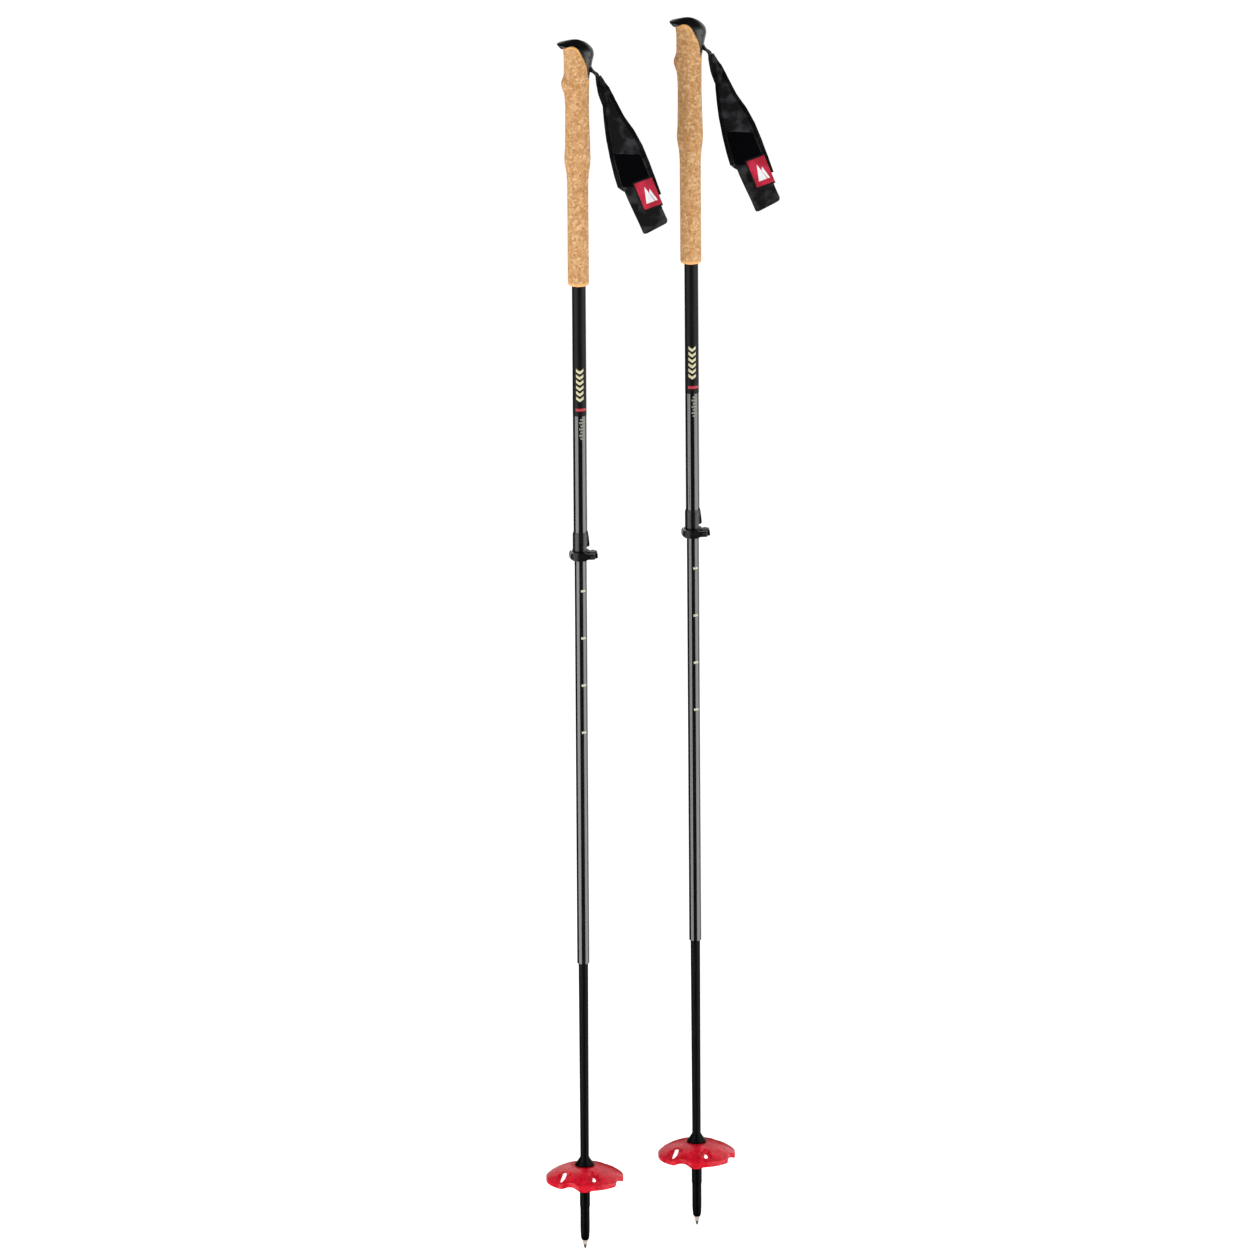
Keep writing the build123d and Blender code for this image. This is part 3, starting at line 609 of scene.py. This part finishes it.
def rolled_end(side):
    """The webbing's upper end, which rolls over inside the pommel."""
    rings = []
    for turn in steps(math.radians(-78), 0.0, 6):
        share = (BEAD_R * math.sin(turn) - TUCK) / STRAP_LENGTH
        half = WEBBING_TOP - BEAD_R * (1 - math.cos(turn))
        rings.append([
            strap_point(side, share, half * u, BEAD_R * math.cos(turn) * h) for u, h in BAND_RING
        ])
    return rings


def rear_leg(side):
    """The webbing behind the hand, from the pommel down to the fold."""
    rings = []
    for share in steps(0.004 - TUCK / STRAP_LENGTH, FOLD, 112):
        half = min(WEBBING_TOP + WEBBING_GAIN * share, band_half_width(share) + 0.2 * MM)
        gap = -loop_gap(share) * eased(share, 0.01, 0.08)
        thick = HALF_PLY + (BEAD_R - HALF_PLY) * (1 - eased(share, 0.0, 0.022))
        rings.append([
            strap_point(side, slanted(share, u), half * u, gap + thick * h + 0.5 * creases(share, u))
            for u, h in BAND_RING
        ])
    return rings


def fold_turn(side):
    """The webbing's half turn round the fold."""
    radius = loop_gap(FOLD)
    rings = []
    for turn in steps(math.radians(12), math.radians(168), 12):
        half = band_half_width(FOLD) - 2.2 * MM * math.sin(turn) ** 4
        ring = []
        for u, h in BAND_RING:
            reach = radius - HALF_PLY * h
            share = slanted(FOLD, u) + reach * math.sin(turn) / STRAP_LENGTH
            ring.append(strap_point(side, share, half * u, -reach * math.cos(turn)))
        rings.append(ring)
    return rings


def front_band(side):
    """The webbing in front of the hand, from the fold up under the cuff."""
    rings = []
    for share in steps(FOLD, 0.66, 40):
        half = band_half_width(share)
        out = loop_gap(share) + (0.4 - 0.9 * (1 - eased(share, 0.80, 0.86))) * MM
        rings.append([
            strap_point(side, slanted(share, u), half * u, out - 0.9 * HALF_PLY * h)
            for u, h in BAND_RING
        ])
    return rings


def make_webbing(side):
    """The woven band: down behind the hand, round the fold and up under the cuff."""
    points, faces = lofted(rolled_end(side) + rear_leg(side) + fold_turn(side) + front_band(side))
    piece = add_piece(f"{side}_woven_band", points, faces, f"{side}_strap", "webbing", "webbing")
    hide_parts(f"{side}_strap_webbing")


def cuff_end(u):
    """Where the cuff stops, as a share of the strap's length: its lower edge slants."""
    return 0.755 + 0.045 * u - 0.03 * max(0.0, -u) ** 6


def cuff_out(share, end):
    """How far the cuff's middle layer stands out, and half of its thickness."""
    lap = eased(share, end - 0.10, end - 0.03)
    slim = 0.45 + 0.55 * eased(share, CUFF_START, 0.26)
    return loop_gap(share) + 0.85 * MM * lap, (1.5 - 0.9 * lap) * slim * MM


def make_cuff(side):
    """The padded leg of the strap, from near the pommel down over the front band."""
    rings = []
    for step in steps(0.0, 1.0, 110):
        ring = []
        for u, h in CUFF_RING:
            end = cuff_end(u)
            share = CUFF_START + (end - CUFF_START) * step
            out, thick = cuff_out(share, end)
            across = cuff_half_width(share) * u + cuff_shift(share)
            ring.append(strap_point(side, share, across, out + thick * h + creases(share, u)))
        rings.append(ring)
    points, faces = lofted(rings)
    piece = add_piece(f"{side}_wrist_cuff", points, faces, f"{side}_strap", "cuff_fabric",
                      "cuff_fabric")
    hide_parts(f"{side}_strap_cuff")


def make_binding_and_edge_shade(side, edge):
    """The tape that binds one long edge of the cuff: a real binding, dark and wide, which also paints
    the shade along that edge.
    """
    word = "inner" if edge < 0 else "outer"
    end = cuff_end(edge)
    rings = []
    for step in steps(0.0, 1.0, 120):
        share = CUFF_START + (end - CUFF_START) * step
        out, thick = cuff_out(share, end)
        taper = 0.35 + 0.65 * eased(step, 0.0, 0.12)
        pucker = 1 + 0.10 * math.sin(step * 2 * math.pi * 30)
        middle = edge * (cuff_half_width(share) - BINDING_INSET) + cuff_shift(share)
        rings.append([
            strap_point(side, share, middle + BINDING_AND_SHADE_HALF * u * taper,
                        out + creases(share, edge) + (thick + 0.25 * MM) * h * taper * pucker)
            for u, h in CORD_RING
        ])
    points, faces = lofted(rings)
    add_piece(f"{side}_cuff_binding_{word}", points, faces, f"{side}_strap", "cuff_fabric", "binding_and_edge_shade")


def pad(side, shares, left, right, out, thick, slant=0.0):
    """A thin pillow on the cuff's face between two shares of the length.

    left, right and out give its sides and its height over the strap at any share.
    """
    low, high = shares
    rings = []
    for share in steps(low, high, 40):
        off_middle = min(1.0, abs(2 * (share - low) / (high - low) - 1))
        end_taper = max(0.05, (1 - off_middle ** 14) ** 0.5)
        ring = []
        for u, h in PAD_RING:
            across = (left(share) + right(share)) / 2 + (right(share) - left(share)) / 2 * u
            at = share + slant * u
            ring.append(strap_point(side, at, across, out(at) + thick * h * end_taper))
        rings.append(ring)
    return lofted(rings)


def make_painted_shade_panel(side):
    """A near-black panel set on the cuff above the label: painted shade for the shadow inside the
    strap's loop.
    """
    points, faces = pad(
        side, SHADE_PANEL_SHARES,
        lambda share: cuff_shift(share) - (cuff_half_width(share) - SHADE_PANEL_INSET),
        lambda share: cuff_shift(share) + (cuff_half_width(share) - SHADE_PANEL_INSET),
        lambda share: sum(cuff_out(share, cuff_end(1))) - 0.05 * MM,
        0.4 * MM, slant=0.03,
    )
    add_piece(f"{side}_cuff_painted_shade", points, faces, f"{side}_strap", "cuff_fabric", "painted_shade_panel")


LABEL_MIDDLE = 141.8 * MM / STRAP_LENGTH        # a share of the strap's length, as is the next
LABEL_HALF_LENGTH = 15.3 * MM / STRAP_LENGTH
LABEL_ACROSS = 6.5 * MM         # from the strap's middle to the label's
LABEL_HALF = 9.6 * MM           # half of the label's width
LABEL_LIFT = 1.85 * MM          # from the middle of the strap's front leg out to the label
BORDER = 1.7 * MM               # what the label's dark border shows on three sides
BORDER_OUTER = 0.2 * MM         # and what it shows at the cuff's outer edge


def label_out(share):
    """How far the label stands out at a share of the strap's length."""
    return loop_gap(share) + LABEL_LIFT


def label_pad(side, margin, outer_margin, lift, thick):
    """A layer of the label that is larger than its red field by a margin."""
    half_length = LABEL_HALF_LENGTH + margin / STRAP_LENGTH
    return pad(
        side, (LABEL_MIDDLE - half_length, LABEL_MIDDLE + half_length),
        lambda share: LABEL_ACROSS - LABEL_HALF - margin,
        lambda share: LABEL_ACROSS + LABEL_HALF + outer_margin,
        lambda share: label_out(share) + lift, thick,
    )


def patch(side, corners):
    """A flat raised shape on the label from corners given in millimetres across and down."""
    layers = []
    for lift in (0.25 * MM, 0.5 * MM):
        layer = []
        for across, down in corners:
            share = LABEL_MIDDLE + down * MM / STRAP_LENGTH
            layer.append(strap_point(side, share, LABEL_ACROSS + across * MM, label_out(share) + lift))
        layers.append(layer)
    return lofted(layers)


def make_label(side):
    """The sewn label: a dark border, a red field and two plain peaks."""
    body = f"{side}_strap"
    border = label_pad(side, BORDER, BORDER_OUTER, -0.1 * MM, 0.3 * MM)
    piece = add_piece(f"{side}_label_border", *border, body, "label_fabric", "label_border")
    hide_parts(f"{side}_strap_label")
    field = label_pad(side, 0.0, 0.0, 0.1 * MM, 0.25 * MM)
    add_piece(f"{side}_label_field", *field, body, "label_fabric", "label_fabric")
    peaks = [
        patch(side, [(-5.4, 9.5), (-1.0, -8.5), (3.6, 9.5)]),
        patch(side, [(1.3, -0.6), (3.2, -4.6), (6.6, 9.5), (4.4, 9.5)]),
    ]
    add_piece(f"{side}_label_emblem", *joined(peaks), body, "label_fabric", "label_thread",
              smooth=False)


STITCH_LENGTH = 2.3 * MM
STITCH_PITCH = 3.2 * MM
THREAD_R = 0.26 * MM


def stitch(side, share, across, out):
    """One thread stitch lying along the strap."""
    rings = []
    for step in steps(-1.0, 1.0, 6):
        swell = max(0.25, (1 - step ** 4)) * THREAD_R
        lift = out - 0.5 * THREAD_R * step * step
        at = share + step * STITCH_LENGTH / 2 / STRAP_LENGTH
        rings.append([
            strap_point(side, at, across + swell * u, lift + swell * h) for u, h in CORD_RING[::2]
        ])
    return lofted(rings)


def make_stitching(side):
    """A row of thread beside each binding."""
    stitches = []
    for edge in (-1, 1):
        share = 0.10
        end = cuff_end(edge)
        while share < end - 0.01:
            out, thick = cuff_out(share, end)
            across = edge * (cuff_half_width(share) - STITCH_INSET) + cuff_shift(share)
            face = out + 0.93 * thick + creases(share, 0.8 * edge)
            stitches.append(stitch(side, share, across, face))
            share += STITCH_PITCH / STRAP_LENGTH
    add_piece(f"{side}_cuff_stitching", *joined(stitches), f"{side}_strap", "cuff_fabric", "thread")


# ---- printed marks on the tubes ----------------------------------------------------------
FRONT = math.radians(-90)
SKIN = 0.005 * MM               # where films and prints begin, just outside the tube's face
INK = 0.03 * MM                 # how far out a print on the upper tube ends
SLIDING_INK = 0.025 * MM        # and one on the lower tube, which slides into the upper one
UPPER_TUBE_R = 7.0 * MM
LOWER_TUBE_R = 6.25 * MM
WRAP_R = UPPER_TUBE_R + 0.04 * MM
WRAP_LOW, WRAP_HIGH = 885.8 * MM, 1023.3 * MM

# A mark's turn is how far its middle is turned from the front, towards +x, and its spread is
# half of what it covers, both in radians.
CHEVRONS, CHEVRON_PITCH, CHEVRON_LOW, CHEVRON_HEIGHT = 6, 5.85 * MM, 902.6 * MM, 3.2 * MM
CHEVRON_TURN, CHEVRON_SPREAD = 0.05, 0.28       # each arm has its own spread
CHEVRON_SLOPE = 5.0 * MM                        # how much an arm climbs over a radian
DASH_LOW, DASH_HIGH = 891.2 * MM, 894.3 * MM
DASH_TURN, DASH_SPREAD = 0.24, 0.88
RUNGS, RUNG_PITCH, RUNG_LOW, RUNG_HEIGHT = 7, 3.3 * MM, 861.5 * MM, 2.1 * MM
RUNG_TURN, RUNG_SPREADS = 0.33, (0.24, 0.40)    # short and long rungs by turns
TICKS, TICK_PITCH, TICK_LOW, TICK_HEIGHT = 4, 50 * MM, 549.6 * MM, 2.4 * MM
TICK_TURN, TICK_SPREAD = 0.45, 0.42


def revolved(side, outline, count):
    """A closed ring from an outline given as radius and height."""
    points, faces = [], []
    for step in range(count):
        turn = 2 * math.pi * step / count
        points += [
            POLE_AXIS[side] + Vector((r * math.cos(turn), r * math.sin(turn), z)) for r, z in outline
        ]
    size = len(outline)
    for step in range(count):
        for k in range(size):
            a, b = step * size + k, step * size + (k + 1) % size
            shift = ((step + 1) % count - step) * size
            faces.append((a, a + shift, b + shift, b))
    return points, faces


def make_wrap(side):
    """The satin film that the upper half of the upper tube is wrapped in."""
    inner = UPPER_TUBE_R + SKIN
    outline = [(inner, WRAP_LOW), (WRAP_R, WRAP_LOW), (WRAP_R, WRAP_HIGH), (inner, WRAP_HIGH)]
    add_piece(f"{side}_satin_wrap", *revolved(side, outline, 72), f"{side}_upper_section", "upper_tube",
              "satin_wrap", smooth=False)


def wrapped(side, radius, turn, spread, low, high, lift=INK, slope=0.0):
    """A thin print on a tube's surface, between two heights, from its turn and its spread."""
    middle = FRONT + turn
    inner, outer = radius + SKIN, radius + lift
    corners = ((inner, low), (outer, low), (outer, high), (inner, high))
    rings = []
    for angle in steps(middle - spread, middle + spread, math.ceil(spread / 0.035)):
        rise = slope * (angle - middle)
        rings.append([
            POLE_AXIS[side] + Vector((reach * math.cos(angle), reach * math.sin(angle), height + rise))
            for reach, height in corners
        ])
    return lofted(rings)


def make_upper_marks(side):
    """A generic trim on the upper tube: gold chevrons, a red dash and a fine grey ladder."""
    body = f"{side}_upper_section"
    chevrons = []
    for step in range(CHEVRONS):
        low = CHEVRON_LOW + CHEVRON_PITCH * step
        for way in (-1, 1):
            turn = CHEVRON_TURN + way * CHEVRON_SPREAD
            chevrons.append(wrapped(side, WRAP_R, turn, CHEVRON_SPREAD, low, low + CHEVRON_HEIGHT,
                                    slope=way * CHEVRON_SLOPE))
    add_piece(f"{side}_gold_trim", *joined(chevrons), body, "upper_tube", "gold_ink")
    dash = wrapped(side, WRAP_R, DASH_TURN, DASH_SPREAD, DASH_LOW, DASH_HIGH)
    add_piece(f"{side}_red_dash", *dash, body, "upper_tube", "red_ink")
    rungs = []
    for step in range(RUNGS):
        low = RUNG_LOW + RUNG_PITCH * step
        spread = RUNG_SPREADS[step % 2]
        rungs.append(wrapped(side, UPPER_TUBE_R, RUNG_TURN, spread, low, low + RUNG_HEIGHT))
    add_piece(f"{side}_grey_trim", *joined(rungs), body, "upper_tube", "grey_ink")


def make_depth_marks(side):
    """The length scale on the lower tube: a cream tick every 50 mm."""
    ticks = []
    for step in range(TICKS):
        low = TICK_LOW + TICK_PITCH * step
        ticks.append(wrapped(side, LOWER_TUBE_R, TICK_TURN, TICK_SPREAD, low, low + TICK_HEIGHT,
                             lift=SLIDING_INK))
    add_piece(f"{side}_length_scale", *joined(ticks), f"{side}_lower_section", "lower_tube",
              "cream_ink")


# ---- basket ------------------------------------------------------------------------------
BASKET_VOXEL = 0.45 * MM


def make_basket(side):
    softened(f"{side}_snow_basket", f"{side}_powder_basket", f"{side}_basket", "basket_plastic",
             BASKET_VOXEL, 2)


# ---- studio --------------------------------------------------------------------------------
ELEVATION = math.radians(17.0)
ROLL = math.radians(-0.37)
VIEW_HEIGHT = 1.2676            # what the frame takes in, at the poles
LENS, SENSOR = 1500.0, 36.0     # a long lens: the poles' sides stay parallel
LEFT_OF_VIEW = 0.0444           # how far the left pole's middle is left of the view's middle,
BELOW_VIEW = 0.0212             # and how far below it
PANEL_REACH = 0.95              # from the poles out to each light panel
PANEL_HEIGHT = 2.1
PANEL_RISE = 0.1                # how far the panels' middles are above the poles'


def make_camera():
    """A camera far off and a little above, with its view rolled very slightly."""
    level = Vector((1, 0, 0))
    upright = Vector((0, math.sin(ELEVATION), math.cos(ELEVATION)))
    right = level * math.cos(ROLL) + upright * math.sin(ROLL)
    up = upright * math.cos(ROLL) - level * math.sin(ROLL)
    back = right.cross(up)
    middle = POLE_AXIS["left"] + Vector((0, 0, cad_box[1].z / 2))
    target = middle + right * LEFT_OF_VIEW + up * BELOW_VIEW
    data = bpy.data.cameras.new("camera")
    data.lens = LENS
    data.sensor_width = SENSOR
    data.clip_end = 200.0
    camera = bpy.data.objects.new("camera", data)
    bpy.context.scene.collection.objects.link(camera)
    turn = Matrix((right, up, back)).transposed()
    distance = VIEW_HEIGHT * LENS / SENSOR
    camera.matrix_world = Matrix.Translation(target + back * distance) @ turn.to_4x4()
    bpy.context.scene.camera = camera


def softbox(name, place, aim, width, height, radiance, diffuse=True, glossy=True):
    """A rectangular light, which can be kept out of the shading or out of the reflections."""
    data = bpy.data.lights.new(name, "AREA")
    data.shape = "RECTANGLE"
    data.size = width
    data.size_y = height
    data.energy = radiance * math.pi * width * height
    lamp = bpy.data.objects.new(name, data)
    lamp.location = place
    lamp.rotation_euler = (Vector(aim) - Vector(place)).to_track_quat("-Z", "Y").to_euler()
    lamp.visible_camera = False
    lamp.visible_diffuse = diffuse
    lamp.visible_glossy = glossy
    bpy.context.scene.collection.objects.link(lamp)


def make_lights():
    """Tall panels round the poles, narrow ones to light and wide ones to reflect, and a fill."""
    middle = centre("left_lower_shaft").lerp(centre("right_lower_shaft"), 0.5)
    for name, angle, width, radiance, shades in (
        ("key_left", -52, 0.34, 3.2, True), ("key_right", 56, 0.34, 3.0, True),
        ("gloss_left", -57, 0.95, 3.4, False), ("gloss_right", 70, 1.1, 3.2, False),
        ("gloss_back_left", -158, 0.5, 0.6, False), ("gloss_back_right", 138, 0.8, 1.3, False),
    ):
        turn = math.radians(angle)
        spot = middle + Vector((math.sin(turn), -math.cos(turn), 0)) * PANEL_REACH
        spot.z = middle.z + PANEL_RISE
        aim = (middle.x, middle.y, spot.z)
        softbox(name, spot, aim, width, PANEL_HEIGHT, radiance, shades, not shades)
    softbox("back_fill", middle + Vector((0, 2.2, 1.0)), middle, 1.6, 1.6, 0.9)


def make_floor():
    """White paper, which glows a little so that it comes out white."""
    finish = Finish("floor_paper", Roughness=0.9, Specular_IOR_Level=0.0)
    cloud = finish.noise(0.5, detail=2.0)
    finish.colour(finish.ramp(cloud, (0.3, (0.88, 0.88, 0.88)), (0.7, (0.9, 0.9, 0.9))))
    finish.shader.inputs["Emission Color"].default_value = (1, 1, 1, 1)
    finish.shader.inputs["Emission Strength"].default_value = 0.56
    half = 30.0
    corners = [(-half, -half, 0), (half, -half, 0), (half, half, 0), (-half, half, 0)]
    mesh = bpy.data.meshes.new("floor")
    mesh.from_pydata(corners, [], [(0, 1, 2, 3)])
    floor = bpy.data.objects.new("floor", mesh)
    bpy.context.scene.collection.objects.link(floor)
    mesh.materials.append(finish.material)
    floor.visible_glossy = False


def make_world():
    """Soft even light all round: the camera sees it white, and reflections see a darker room."""
    world = bpy.data.worlds.new("studio")
    world.use_nodes = True
    bpy.context.scene.world = world
    tree = world.node_tree
    background = tree.nodes["Background"]
    path = tree.nodes.new("ShaderNodeLightPath")
    shade = tree.nodes.new("ShaderNodeMapRange")
    shade.inputs["To Min"].default_value = 0.55
    shade.inputs["To Max"].default_value = 0.02
    seen = tree.nodes.new("ShaderNodeMath")
    seen.operation = "MAXIMUM"
    tree.links.new(path.outputs["Is Glossy Ray"], shade.inputs["Value"])
    tree.links.new(shade.outputs[0], seen.inputs[0])
    tree.links.new(path.outputs["Is Camera Ray"], seen.inputs[1])
    tree.links.new(seen.outputs[0], background.inputs["Strength"])
    background.inputs["Color"].default_value = (1, 1, 1, 1)


make_camera()
make_world()
make_lights()
make_floor()
dress_cad()
for side in SIDES:
    make_cork(side)
    make_pommel(side)
    make_lever(side)
    make_webbing(side)
    make_cuff(side)
    make_binding_and_edge_shade(side, -1)
    make_binding_and_edge_shade(side, 1)
    make_painted_shade_panel(side)
    make_label(side)
    make_stitching(side)
    make_wrap(side)
    make_upper_marks(side)
    make_depth_marks(side)
    make_basket(side)

bpy.context.scene.view_settings.view_transform = "Standard"
